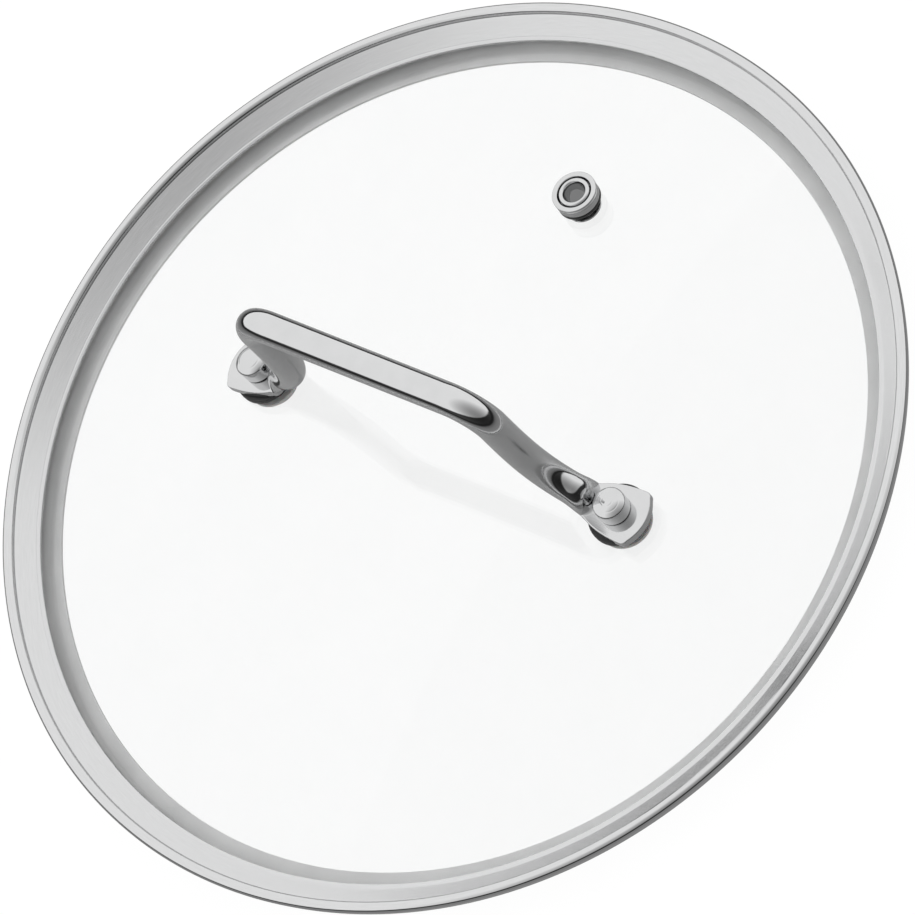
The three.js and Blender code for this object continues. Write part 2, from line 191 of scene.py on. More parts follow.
def add_camera():
    azimuth = math.radians(CAMERA_AZIMUTH)
    elevation = math.radians(CAMERA_ELEVATION)
    roll = math.radians(CAMERA_ROLL)
    back = Vector((
        math.sin(azimuth) * math.cos(elevation),
        -math.cos(azimuth) * math.cos(elevation),
        math.sin(elevation),
    ))
    level = Vector((math.cos(azimuth), math.sin(azimuth), 0))
    upright = back.cross(level)
    right = math.cos(roll) * level + math.sin(roll) * upright
    up = back.cross(right)
    place = CAMERA_TARGET + CAMERA_SHIFT[0] * right + CAMERA_SHIFT[1] * up
    place += CAMERA_DISTANCE * back
    data = bpy.data.cameras.new("camera")
    data.sensor_width = SENSOR
    data.lens = SENSOR / 2 * CAMERA_DISTANCE * CAMERA_SCALE / IMAGE_HALF
    data.clip_start = 0.1
    data.clip_end = 100
    camera = bpy.data.objects.new("camera", data)
    axes = Matrix((right, up, back)).transposed()
    camera.matrix_world = Matrix.Translation(place * MM) @ axes.to_4x4()
    bpy.context.scene.collection.objects.link(camera)
    bpy.context.scene.camera = camera


add_camera()

# ---------------------------------------------------------------- mesh helpers


def arc(centre_r, centre_z, radius, start, end, steps):
    """Points along an arc in a profile, from one angle to another, in degrees."""
    points = []
    for i in range(steps + 1):
        angle = math.radians(start + (end - start) * i / steps)
        points.append((centre_r + radius * math.cos(angle), centre_z + radius * math.sin(angle)))
    return points


LONGEST_EASE = 0.49  # of the shorter side beside a corner


def eased(points, ease, steps=4):
    """A closed profile with each corner off the axis rounded to the given radius."""
    out = []
    count = len(points)
    for i, (r, z) in enumerate(points):
        here = Vector((r, z))
        before = Vector(points[i - 1]) - here
        after = Vector(points[(i + 1) % count]) - here
        turn = before.angle(after)
        if r < 1e-6 or turn > math.radians(170) or min(before.length, after.length) < 1e-6:
            out.append((r, z))
            continue
        reach = ease / math.tan(turn / 2)
        limit = LONGEST_EASE * min(before.length, after.length)
        reach = min(reach, limit)
        start = here + before.normalized() * reach
        end = here + after.normalized() * reach
        for k in range(steps + 1):
            t = k / steps
            point = start * (1 - t) ** 2 + here * (2 * t * (1 - t)) + end * t**2
            out.append((max(point.x, 0), point.y))
    return out


def new_piece(name, mesh, place=None):
    piece = bpy.data.objects.new(name, mesh)
    if place is not None:
        piece.matrix_world = place
    bpy.context.scene.collection.objects.link(piece)
    return piece


def shade(piece, angle=32):
    """Smooth shading with creases, where large faces keep their own normals."""
    mesh = piece.data
    mesh.shade_smooth()
    mesh.set_sharp_from_angle(angle=math.radians(angle))
    weighted = piece.modifiers.new("weighted normals", "WEIGHTED_NORMAL")
    weighted.keep_sharp = True


def turned_mesh(name, profile, segments):
    """A closed profile of (radius, height) in mm, turned about Z."""
    verts, rows = [], []
    for r, z in profile:
        if r < 1e-6:
            rows.append([len(verts)] * segments)
            verts.append((0, 0, z * MM))
            continue
        rows.append(list(range(len(verts), len(verts) + segments)))
        for k in range(segments):
            angle = 2 * math.pi * k / segments
            verts.append((r * MM * math.cos(angle), r * MM * math.sin(angle), z * MM))
    faces = []
    for i, row in enumerate(rows):
        nxt = rows[(i + 1) % len(rows)]
        if row[0] == row[1] and nxt[0] == nxt[1]:
            continue
        for k in range(segments):
            j = (k + 1) % segments
            corners = [row[k], row[j], nxt[j], nxt[k]]
            faces.append(list(dict.fromkeys(corners)))
    mesh = bpy.data.meshes.new(name)
    mesh.from_pydata(verts, [], faces)
    fix = bmesh.new()
    fix.from_mesh(mesh)
    bmesh.ops.recalc_face_normals(fix, faces=fix.faces)
    fix.to_mesh(mesh)
    fix.free()
    return mesh


def drum(name, radius, bottom, top, segments, place):
    mesh = turned_mesh(name, [(0, bottom), (radius, bottom), (radius, top), (0, top)], segments)
    return new_piece(name, mesh, place)


def combine(piece, tools, operation):
    """Joins or cuts a piece with others, which are then removed."""
    for tool in tools:
        step = piece.modifiers.new("combine", "BOOLEAN")
        step.operation = operation
        step.solver = "EXACT"
        step.object = tool
    bpy.context.view_layer.update()
    graph = bpy.context.evaluated_depsgraph_get()
    mesh = bpy.data.meshes.new_from_object(piece.evaluated_get(graph))
    piece.modifiers.clear()
    piece.data = mesh
    for tool in tools:
        bpy.data.objects.remove(tool)


def finish_piece(piece, material, slot, *nodes):
    piece.data.materials.clear()
    piece.data.materials.append(material)
    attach(piece, BODY)
    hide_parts(*nodes)


# ---------------------------------------------------------------- the dome and its stations


def glass_top(r):
    return SPHERE_Z + math.sqrt(GLASS_SPHERE**2 - r**2)


def station(radius, azimuth):
    """A frame standing on the glass: Z along its normal and X pointing outward."""
    place = Vector((radius * math.cos(azimuth), radius * math.sin(azimuth), glass_top(radius)))
    tilt = Matrix.Rotation(math.asin(radius / GLASS_SPHERE), 4, "Y")
    return Matrix.Translation(place * MM) @ Matrix.Rotation(azimuth, 4, "Z") @ tilt


FIXINGS = {"a": station(FOOT_X, 0), "b": station(FOOT_X, math.pi)}
VENT = station(VENT_Y, math.pi / 2)

# ---------------------------------------------------------------- materials


NOISE_LOW = 0.3  # most of a noise texture's values lie between these
NOISE_HIGH = 0.7


class Nodes:
    """A material's node tree, with short calls for adding and joining nodes."""

    def __init__(self, name):
        self.material = bpy.data.materials.new(name)
        self.material.use_nodes = True
        self.tree = self.material.node_tree
        self.tree.nodes.clear()
        self.output = self.add("ShaderNodeOutputMaterial")

    def add(self, kind, **values):
        node = self.tree.nodes.new(kind)
        for key, value in values.items():
            if hasattr(node, key):
                setattr(node, key, value)
            else:
                node.inputs[key.replace("_", " ").title()].default_value = value
        return node

    def join(self, source, target):
        self.tree.links.new(source, target)

    def math(self, operation, a, b=None):
        node = self.tree.nodes.new("ShaderNodeMath")
        node.operation = operation
        for socket, value in zip(node.inputs, (a, b)):
            if value is None:
                continue
            if isinstance(value, (int, float)):
                socket.default_value = value
            else:
                self.join(value, socket)
        return node.outputs[0]

    def vector(self, x, y, z):
        node = self.tree.nodes.new("ShaderNodeCombineXYZ")
        for socket, value in zip(node.inputs, (x, y, z)):
            if isinstance(value, (int, float)):
                socket.default_value = value
            else:
                self.join(value, socket)
        return node.outputs[0]

    def noise(self, where, scale, detail=3.0, roughness=0.5):
        node = self.tree.nodes.new("ShaderNodeTexNoise")
        node.inputs["Scale"].default_value = scale
        node.inputs["Detail"].default_value = detail
        node.inputs["Roughness"].default_value = roughness
        self.join(where, node.inputs["Vector"])
        return node.outputs["Fac"]

    def between(self, value, low, high, start=NOISE_LOW, end=NOISE_HIGH):
        """value mapped from start..end to low..high."""
        node = self.tree.nodes.new("ShaderNodeMapRange")
        self.join(value, node.inputs["Value"])
        node.inputs["From Min"].default_value = start
        node.inputs["From Max"].default_value = end
        node.inputs["To Min"].default_value = low
        node.inputs["To Max"].default_value = high
        return node.outputs["Result"]

    def shades(self, value, dark, light):
        node = self.tree.nodes.new("ShaderNodeValToRGB")
        node.color_ramp.elements[0].position = NOISE_LOW
        node.color_ramp.elements[0].color = (*dark, 1)
        node.color_ramp.elements[1].position = NOISE_HIGH
        node.color_ramp.elements[1].color = (*light, 1)
        self.join(value, node.inputs["Fac"])
        return node.outputs["Color"]

    def bump(self, height, distance, strength, normal=None):
        node = self.tree.nodes.new("ShaderNodeBump")
        node.inputs["Distance"].default_value = distance
        node.inputs["Strength"].default_value = strength
        self.join(height, node.inputs["Height"])
        if normal is not None:
            self.join(normal, node.inputs["Normal"])
        return node.outputs["Normal"]


def polar(nodes):
    """Radius, angle and height of the shaded point about the piece's own Z axis."""
    where = nodes.add("ShaderNodeTexCoord").outputs["Object"]
    split = nodes.add("ShaderNodeSeparateXYZ")
    nodes.join(where, split.inputs[0])
    x, y, z = split.outputs
    squares = nodes.math("ADD", nodes.math("MULTIPLY", x, x), nodes.math("MULTIPLY", y, y))
    return nodes.math("SQRT", squares), nodes.math("ARCTAN2", y, x), z, where


TURNED_STROKE = 0.0004  # metres of texture per radian, so that marks run round the axis
FINE_STROKE = 0.006
COARSE_STROKE = 0.02
BUFFED_STRETCH = (0.08, 1, 0.5)  # marks run along the bar


def polished_steel(name, turned):
    """Mirror-polished steel with faint buffing marks: round the axis, or along the rod."""
    nodes = Nodes(name)
    radius, angle, height, where = polar(nodes)
    if turned:
        along = nodes.vector(radius, nodes.math("MULTIPLY", angle, TURNED_STROKE), height)
    else:
        stretch = nodes.add("ShaderNodeMapping")
        stretch.inputs["Scale"].default_value = BUFFED_STRETCH
        nodes.join(where, stretch.inputs["Vector"])
        along = stretch.outputs[0]
    marks = nodes.noise(along, scale=2600, detail=4, roughness=0.6)
    cloud = nodes.noise(where, scale=160, detail=3)
    shader = nodes.add("ShaderNodeBsdfPrincipled")
    shader.inputs["Metallic"].default_value = 1
    nodes.join(nodes.shades(cloud, (0.6, 0.603, 0.606), (0.63, 0.632, 0.635)), shader.inputs["Base Color"])
    fine_rough = nodes.between(marks, low=0.02, high=0.06)
    rough = nodes.math("ADD", fine_rough, nodes.between(cloud, low=0.02, high=0.04))
    nodes.join(rough, shader.inputs["Roughness"])
    ripple = nodes.bump(cloud, distance=0.0002, strength=0.03)
    scored = nodes.bump(marks, distance=0.00002, strength=0.25, normal=ripple)
    nodes.join(scored, shader.inputs["Normal"])
    nodes.join(shader.outputs[0], nodes.output.inputs["Surface"])
    return nodes.material


MATT_ROUGHNESS = 0.7  # added where the strip keeps its rolled surface
BEAD_SHINE = 0.3  # of the satin roughness, on the bead
BEAD_POLISH = (126.2, 127.2)  # radii between which the satin gives way to it
# below the given height the steel is both rougher and carries painted light
MATT_AND_PAINTED_LIGHT_FADE = 0.9  # of the matt height, where the change begins


def satin_steel(name, matt_and_painted_light_below=0.0):
    """Steel brushed round the axis, left unpolished below a given height, where its colour is also painted
    near white: painted light on the jaw that the lip shades.
    """
    nodes = Nodes(name)
    radius, angle, height, where = polar(nodes)
    fine_strokes = nodes.vector(radius, nodes.math("MULTIPLY", angle, FINE_STROKE), height)
    fine = nodes.noise(fine_strokes, scale=4200, detail=4, roughness=0.65)
    coarse_strokes = nodes.vector(radius, nodes.math("MULTIPLY", angle, COARSE_STROKE), height)
    coarse = nodes.noise(coarse_strokes, scale=900, detail=3)
    cloud = nodes.noise(where, scale=60, detail=3)
    shader = nodes.add("ShaderNodeBsdfPrincipled")
    shader.inputs["Metallic"].default_value = 1
    shader.inputs["Anisotropic"].default_value = 0.4
    tangent = nodes.add("ShaderNodeTangent")
    tangent.direction_type = "RADIAL"
    tangent.axis = "Z"
    nodes.join(tangent.outputs[0], shader.inputs["Tangent"])
    tone = nodes.shades(fine, (0.60, 0.602, 0.605), (0.65, 0.652, 0.655))
    if matt_and_painted_light_below:
        # painted light: below the given height the colour is lifted to near white, standing in for light on
        # the jaw that the lip shades
        painted_light_mix = nodes.add("ShaderNodeMix")
        painted_light_mix.data_type = "RGBA"
        nodes.join(nodes.between(height, 1, 0, matt_and_painted_light_below * MATT_AND_PAINTED_LIGHT_FADE, matt_and_painted_light_below), painted_light_mix.inputs[0])
        nodes.join(tone, painted_light_mix.inputs[6])
        nodes.join(nodes.shades(cloud, (0.9, 0.9, 0.9), (0.95, 0.95, 0.95)), painted_light_mix.inputs[7])
        tone = painted_light_mix.outputs[2]
    nodes.join(tone, shader.inputs["Base Color"])
    fine_rough = nodes.between(fine, low=0.15, high=0.23)
    rough = nodes.math("ADD", fine_rough, nodes.between(cloud, low=0.02, high=0.05))
    if matt_and_painted_light_below:
        unpolished = nodes.between(height, MATT_ROUGHNESS, 0, matt_and_painted_light_below * MATT_AND_PAINTED_LIGHT_FADE, matt_and_painted_light_below)
        shine = nodes.between(radius, 1, BEAD_SHINE, BEAD_POLISH[0] * MM, BEAD_POLISH[1] * MM)
        rough = nodes.math("ADD", nodes.math("MULTIPLY", rough, shine), unpolished)
    nodes.join(rough, shader.inputs["Roughness"])
    strokes = nodes.bump(coarse, distance=0.00003, strength=0.1)
    brushed = nodes.bump(fine, distance=0.00001, strength=0.15, normal=strokes)
    nodes.join(brushed, shader.inputs["Normal"])
    nodes.join(shader.outputs[0], nodes.output.inputs["Surface"])
    return nodes.material


GRAIN_SPREAD = 0.08  # of roughness, to either side


def silicone(name, dark, light, rough, cloudy=0.0):
    """Moulded silicone with a fine matt grain and a little dust."""
    nodes = Nodes(name)
    where = nodes.add("ShaderNodeTexCoord").outputs["Object"]
    grain = nodes.noise(where, scale=5200, detail=3)
    dust = nodes.noise(where, scale=700, detail=5, roughness=0.7)
    shader = nodes.add("ShaderNodeBsdfPrincipled")
    shader.inputs["Subsurface Weight"].default_value = cloudy
    shader.inputs["Subsurface Scale"].default_value = 0.001
    shader.inputs["Sheen Weight"].default_value = 0.08
    nodes.join(nodes.shades(dust, dark, light), shader.inputs["Base Color"])
    matt = nodes.between(grain, rough - GRAIN_SPREAD, rough + GRAIN_SPREAD)
    nodes.join(matt, shader.inputs["Roughness"])
    nodes.join(nodes.bump(grain, distance=0.00005, strength=0.35), shader.inputs["Normal"])
    nodes.join(shader.outputs[0], nodes.output.inputs["Surface"])
    return nodes.material


def clear_glass(name):
    """Tempered glass: clear, with a very slight roll wave and the faintest handling haze."""
    nodes = Nodes(name)
    where = nodes.add("ShaderNodeTexCoord").outputs["Object"]
    wave = nodes.noise(where, scale=14, detail=2)
    haze = nodes.noise(where, scale=55, detail=5, roughness=0.65)
    shader = nodes.add("ShaderNodeBsdfPrincipled")
    shader.inputs["Transmission Weight"].default_value = 1
    shader.inputs["IOR"].default_value = 1.5
    nodes.join(nodes.shades(haze, (0.925, 0.93, 0.929), (0.938, 0.942, 0.941)), shader.inputs["Base Color"])
    smears = nodes.between(haze, low=0.0, high=0.025, start=0.35, end=0.75)
    nodes.join(smears, shader.inputs["Roughness"])
    nodes.join(nodes.bump(wave, distance=0.0003, strength=0.05), shader.inputs["Normal"])
    nodes.join(shader.outputs[0], nodes.output.inputs["Surface"])
    return nodes.material


ROD_STEEL = polished_steel("polished_steel_rod", turned=False)
TURNED_STEEL = polished_steel("polished_steel_turned", turned=True)
SATIN_STEEL = satin_steel("satin_steel")
# below 3 mm the rim is rougher and carries painted light, a near-white colour on the jaw
RIM_STEEL = satin_steel("satin_steel_rim", 3 * MM)
BLACK_SILICONE = silicone("black_silicone", (0.010, 0.010, 0.010), (0.022, 0.022, 0.022), 0.42)
PALE_SILICONE = silicone("pale_silicone", (0.42, 0.42, 0.415), (0.5, 0.5, 0.495), 0.45, 0.3)
CLEAR_GLASS = clear_glass("clear_glass")

# ---------------------------------------------------------------- glass


def make_glass():
    rings = 36
    inner = GLASS_SPHERE - GLASS_THICKNESS
    ease = GLASS_EASE

    def surface(radius, start, end):
        at = lambda r: 90 - math.degrees(math.asin(r / radius))
        return arc(0, SPHERE_Z, radius, at(start), at(end), rings)

    below = surface(inner, 0, GLASS_RADIUS - ease)
    above = surface(GLASS_SPHERE, GLASS_RADIUS - ease, 0)
    below[0] = (0, below[0][1])
    above[-1] = (0, above[-1][1])
    low, high = below[-1][1], above[0][1]
    edge = arc(GLASS_RADIUS - ease, low + ease, ease, -60, 0, 3)
    edge += arc(GLASS_RADIUS - ease, high - ease, ease, 0, 60, 3)
    mesh = turned_mesh("glass_dome", below + edge + above, 192)
    piece = new_piece("glass_pane", mesh)
    depth = 2 * GLASS_THICKNESS
    tools = [
        drum("drill", FIXING_HOLE_RADIUS, -depth, depth, 64, place) for place in FIXINGS.values()
    ]
    tools.append(drum("drill", VENT_GLASS_HOLE, -depth, depth, 64, VENT))
    combine(piece, tools, "DIFFERENCE")
    piece.data.shade_smooth()
    centre = Vector((0, 0, SPHERE_Z * MM))
    inside = (GLASS_RADIUS - GLASS_EDGE_BAND) * MM
    normals = []
    for face in piece.data.polygons:
        for index in face.loop_indices:
            vertex = piece.data.vertices[piece.data.loops[index].vertex_index]
            radial = (vertex.co - centre).normalized()
            facing = radial.dot(face.normal)
            on_surface = abs(facing) > SPHERE_FACING and vertex.co.xy.length < inside
            if on_surface:
                normals.append(radial * (1 if facing > 0 else -1))
            else:
                normals.append(face.normal)
    piece.data.normals_split_custom_set(normals)
    piece.visible_shadow = False
    finish_piece(piece, CLEAR_GLASS, "clear_glass", "glass_dome")


# ---------------------------------------------------------------- rim


def strip(centreline, thickness):
    """The closed outline of a bent strip, with rounded ends, from its centreline."""

    def side(sign):
        out = []
        for i, (r, z) in enumerate(centreline):
            r0, z0 = centreline[max(i - 1, 0)]
            r1, z1 = centreline[min(i + 1, len(centreline) - 1)]
            length = math.hypot(r1 - r0, z1 - z0)
            half = sign * thickness / 2
            out.append((r + half * (z1 - z0) / length, z - half * (r1 - r0) / length))
        return out

    return side(1) + side(-1)[::-1]


def smooth_line(points, steps):
    """A Catmull-Rom curve through points."""
    out = []
    count = len(points)
    for i in range(count - 1):
        p0, p1, p2, p3 = (Vector(points[min(max(i + k, 0), count - 1)]) for k in (-1, 0, 1, 2))
        for k in range(steps):
            t = k / steps
            out.append(tuple(0.5 * (
                2 * p1
                + (p2 - p0) * t
                + (2 * p0 - 5 * p1 + 4 * p2 - p3) * t**2
                + (3 * p1 - p0 - 3 * p2 + p3) * t**3
            )))
    out.append(tuple(points[-1]))
    return out


def make_rim():
    half = SHEET / 2
    bead_r = RIM_RADIUS - BEAD_RADIUS
    wall_r = RIM_RADIUS - WALL_INSET - half
    skirt_r = GLASS_RADIUS + CLEARANCE + half
    lip_z = glass_top(LIP_RADIUS) + CLEARANCE + half
    web_z = SEAT_Z + half
    bead = arc(bead_r, BEAD_Z, BEAD_RADIUS - half, BEAD_START, 0, 24)
    lip = smooth_line([
        (LIP_RADIUS, lip_z + LIP_CURL),
        (LIP_RADIUS + LIP_PRESS[0], lip_z + LIP_PRESS[1]),
        (LIP_RADIUS + LIP_RISE[0], lip_z + LIP_RISE[1]),
        bead[0],
    ], 6)[:-1]
    foot = [
        (SEAT_INNER_RADIUS + SEAT_EDGE, web_z),
        (SEAT_INNER_RADIUS, web_z - SEAT_DIP[0]),
        (SEAT_INNER_RADIUS - SEAT_EDGE, web_z - SEAT_DIP[1]),
        (skirt_r + SKIRT_SLOPE[0], web_z - SKIRT_SLOPE[1]),
        *((skirt_r + out, web_z - down) for out, down in SKIRT_BEND),
    ]
    centreline = [
        *lip,
        *bead,
        *arc(wall_r - BEND, web_z + BEND, BEND, 0, -90, 8),
        *foot,
        *arc(skirt_r - BEND, half + BEND, BEND, 0, -90, 8),
        (FOOT_INNER_RADIUS, half),
        (FOOT_INNER_RADIUS - JAW_START[0], half + JAW_START[1]),
        (JAW_RADIUS, half + JAW_RISE),
    ]
    outline = strip(centreline, SHEET)
    mesh = turned_mesh("rim", outline, RIM_SEGMENTS)
    piece = new_piece("rim", mesh)
    shade(piece, 40)
    finish_piece(piece, RIM_STEEL, "satin_steel", "rim_band")


# ---------------------------------------------------------------- handle


def bezier(p0, p1, p2, p3, steps):
    out = []
    for i in range(steps):
        t = i / steps
        s = 1 - t
        out.append(p0 * s**3 + p1 * (3 * s * s * t) + p2 * (3 * s * t * t) + p3 * t**3)
    return out


def rod_path():
    """Centreline of half the handle, from the middle of the bar to where the nose begins."""
    square = 0.5523  # control length of a Bezier quarter circle
    bend_x = BAR_HALF_LENGTH + BEND_RADIUS
    bend_z = BAR_Z - BEND_RADIUS
    bottom = 2 * CLEARANCE + GASKET_THICKNESS
    place = FIXINGS["a"]
    end = place @ Vector((LEG_END * MM, 0, (bottom + ROD_RADIUS) * MM)) / MM
    at = lambda x, z: Vector((x, 0, z))
    points = [at(BAR_HALF_LENGTH * i / 24, BAR_Z) for i in range(24)]
    points += bezier(
        at(BAR_HALF_LENGTH, BAR_Z),
        at(BAR_HALF_LENGTH + square * BEND_RADIUS, BAR_Z),
        at(bend_x, bend_z + square * BEND_RADIUS),
        at(bend_x, bend_z),
        28,
    )
    leg = bezier(
        at(bend_x, bend_z),
        at(bend_x, bend_z - LEG_PULL_TOP),
        at(bend_x, end.z + LEG_PULL_FOOT),
        at(end.x, end.z),
        64,
    )
    return points + leg


def half_rod():
    """Rings of one half of the rod: from mid-bar down the leg and over the nose."""
    path = rod_path()
    bottom = 2 * CLEARANCE + GASKET_THICKNESS
    place = FIXINGS["a"]
    into = place.inverted()
    last = max(i for i, p in enumerate(path) if (into @ (p * MM)).x / MM < NOSE_START)
    path = path[: last + 1]
    rings = []
    for i, point in enumerate(path):
        ahead = path[min(i + 1, len(path) - 1)] - path[max(i - 1, 0)]
        tangent = ahead.normalized()
        across = Vector((-tangent.z, 0, tangent.x))
        ring = []
        for k in range(ROD_SIDES):
            angle = 2 * math.pi * k / ROD_SIDES
            ring.append(point + ROD_RADIUS * (math.cos(angle) * Vector((0, 1, 0)) + math.sin(angle) * across))
        rings.append(ring)
    down = (into.to_3x3() @ tangent).normalized()
    slope = down.z / down.x
    start = [(into @ (p * MM)) / MM for p in rings[-1]]
    middle = bottom + PADDLE_THICKNESS / 2
    half_depth = PADDLE_THICKNESS / 2 - NOSE_SUNK
    boxy = lambda v: math.copysign(abs(v) ** NOSE_SQUARE, v)
    steps = 28
    for step in range(1, steps + 1):
        turn = math.pi / 2 * step / steps
        t, fall = math.sin(turn), math.cos(turn)
        spread = t * t * (3 - 2 * t)
        ring = []
        for k, p0 in enumerate(start):
            angle = 2 * math.pi * k / ROD_SIDES
            side, rise = math.cos(angle), math.sin(angle)
            end_x = NOSE_TIP - NOSE_BULGE * side**2
            end_z = middle + half_depth * boxy(rise)
            drop = p0.z - end_z
            straight = min(max(-slope * (end_x - p0.x) / drop, 0), 1) if drop > 0 else 1
            ring.append((place @ (Vector((
                p0.x + (end_x - p0.x) * t,
                p0.y + (NOSE_HALF * boxy(side) - p0.y) * spread,
                end_z + drop * (straight * (1 - t) + (1 - straight) * fall),
            )) * MM)) / MM)
        rings.append(ring)
    return rings


def rod_mesh():
    half = half_rod()
    mirrored = [
        [Vector((-p.x, p.y, p.z)) for p in ring] for ring in half[:0:-1]
    ]
    rings = mirrored + half
    verts = [tuple(p * MM) for ring in rings for p in ring]
    faces = []
    for i in range(len(rings) - 1):
        for k in range(ROD_SIDES):
            j = (k + 1) % ROD_SIDES
            a, b = i * ROD_SIDES, (i + 1) * ROD_SIDES
            faces.append((a + k, a + j, b + j, b + k))
    for row in (0, len(rings) - 1):
        centre = len(verts)
        middle = sum((Vector(verts[row * ROD_SIDES + k]) for k in range(ROD_SIDES)), Vector())
        verts.append(tuple(middle / ROD_SIDES))
        for k in range(ROD_SIDES):
            j = (k + 1) % ROD_SIDES
            faces.append((row * ROD_SIDES + k, row * ROD_SIDES + j, centre))
    mesh = bpy.data.meshes.new("rod")
    mesh.from_pydata(verts, [], faces)
    fix = bmesh.new()
    fix.from_mesh(mesh)
    bmesh.ops.recalc_face_normals(fix, faces=fix.faces)
    fix.to_mesh(mesh)
    fix.free()
    return mesh


def paddle_outline():
    flip = lambda p: (p[0], -p[1])
    inner, apex = (PADDLE_INNER, 0), (2 * PADDLE_TIP - PADDLE_TIP_START[0], 0)
    shoulder = (PADDLE_INNER, PADDLE_NECK[1])
    runs = [
        (inner, flip(shoulder), flip(PADDLE_NECK), 8),
        (flip(PADDLE_NECK), flip(PADDLE_SWELL), flip(PADDLE_SIDE_END), 18),
        (flip(PADDLE_SIDE_END), flip(PADDLE_CORNER), flip(PADDLE_TIP_START), 8),
        (flip(PADDLE_TIP_START), apex, PADDLE_TIP_START, 20),
        (PADDLE_TIP_START, PADDLE_CORNER, PADDLE_SIDE_END, 8),
        (PADDLE_SIDE_END, PADDLE_SWELL, PADDLE_NECK, 18),
        (PADDLE_NECK, shoulder, inner, 8),
    ]
    out = []
    for p0, p1, p2, steps in runs:
        for i in range(steps):
            t = i / steps
            out.append(tuple(
                a * (1 - t) ** 2 + b * 2 * t * (1 - t) + c * t * t for a, b, c in zip(p0, p1, p2)
            ))
    return out


def paddle(place):
    bottom = 2 * CLEARANCE + GASKET_THICKNESS
    outline = paddle_outline()
    shape = bmesh.new()
    verts = [shape.verts.new((x * MM, y * MM, bottom * MM)) for x, y in outline]
    face = shape.faces.new(verts)
    grown = bmesh.ops.extrude_face_region(shape, geom=[face])
    moved = [g for g in grown["geom"] if isinstance(g, bmesh.types.BMVert)]
    bmesh.ops.translate(shape, verts=moved, vec=(0, 0, PADDLE_THICKNESS * MM))
    bmesh.ops.recalc_face_normals(shape, faces=shape.faces)
    edges = [e for e in shape.edges if abs(e.verts[0].co.z - e.verts[1].co.z) < 1e-7]
    bmesh.ops.bevel(
        shape, geom=edges, offset=PADDLE_EASE * MM, segments=4, profile=0.5, affect="EDGES"
    )
    mesh = bpy.data.meshes.new("paddle")
    shape.to_mesh(mesh)
    shape.free()
    return new_piece("paddle", mesh, place)


def make_handle():
    piece = new_piece("handle_rod", rod_mesh())
    combine(piece, [paddle(place) for place in FIXINGS.values()], "UNION")
    bottom = 2 * CLEARANCE + GASKET_THICKNESS
    drills = [
        drum("drill", BORE_RADIUS, bottom - DRILL_BELOW, bottom + DRILL_ABOVE, 48, place)
        for place in FIXINGS.values()
    ]
    combine(piece, drills, "DIFFERENCE")
    shade(piece, 30)
    finish_piece(piece, ROD_STEEL, "polished_steel", "handle")


# ---------------------------------------------------------------- handle fixings


def ring_profile(inner, outer, bottom, top, ease):
    return eased([(inner, bottom), (outer, bottom), (outer, top), (inner, top)], ease)


def make_turned(name, profile, place, material, slot, node, segments=96, crease=32):
    piece = new_piece(name, turned_mesh(name, profile, segments), place)
    shade(piece, crease)
    finish_piece(piece, material, slot, node)
    return piece


LOWER_GASKET_TOP = -GLASS_THICKNESS - CLEARANCE
LOWER_WASHER_TOP = LOWER_GASKET_TOP - LOWER_GASKET_THICKNESS - CLEARANCE
SCREW_HEAD_TOP = LOWER_WASHER_TOP - LOWER_WASHER_THICKNESS - CLEARANCE


def nut_profile():
    """A domed barrel nut, its dome finely stepped by the lathe."""
    bottom = 3 * CLEARANCE + GASKET_THICKNESS + PADDLE_THICKNESS
    top = bottom + NUT_HEIGHT
    sphere = (NUT_RADIUS**2 + NUT_DOME**2) / (2 * NUT_DOME)
    spread = math.degrees(math.asin((NUT_RADIUS - NUT_RIM) / sphere))
    dome = arc(0, top - sphere, sphere, 90 - spread, 90, 36)
    grooved = []
    for r, z in dome:
        ripple = math.cos(r / NUT_RADIUS * 2 * math.pi * NUT_RINGS)
        dip = NUT_RING_DEPTH * max(0.0, ripple) ** 6
        grooved.append((r, z - dip))
    grooved[-1] = (0, dome[-1][1])
    shoulder = [
        (0, bottom + NUT_BORE_DEPTH),
        (NUT_BORE_RADIUS, bottom + NUT_BORE_DEPTH),
        (NUT_BORE_RADIUS, bottom),
        (NUT_RADIUS - NUT_EDGE, bottom),
        (NUT_RADIUS - NUT_EDGE_BEND, bottom + NUT_EDGE_BEND),
        (NUT_RADIUS, bottom + NUT_EDGE),
        (NUT_RADIUS, top - NUT_DOME - NUT_RIM),
        *((NUT_RADIUS - inward, top - NUT_DOME - down) for inward, down in NUT_RIM_BEND),
    ]
    return shoulder + grooved


def upper_gasket_profile():
    low = -GLASS_THICKNESS + CLEARANCE
    bottom, top = CLEARANCE, CLEARANCE + GASKET_THICKNESS
    return eased([
        (BORE_RADIUS, low),
        (GASKET_STUB_RADIUS, low),
        (GASKET_STUB_RADIUS, bottom),
        (GASKET_RADIUS, bottom),
        (GASKET_RADIUS, top),
        (BORE_RADIUS, top),
    ], UPPER_GASKET_EASE)


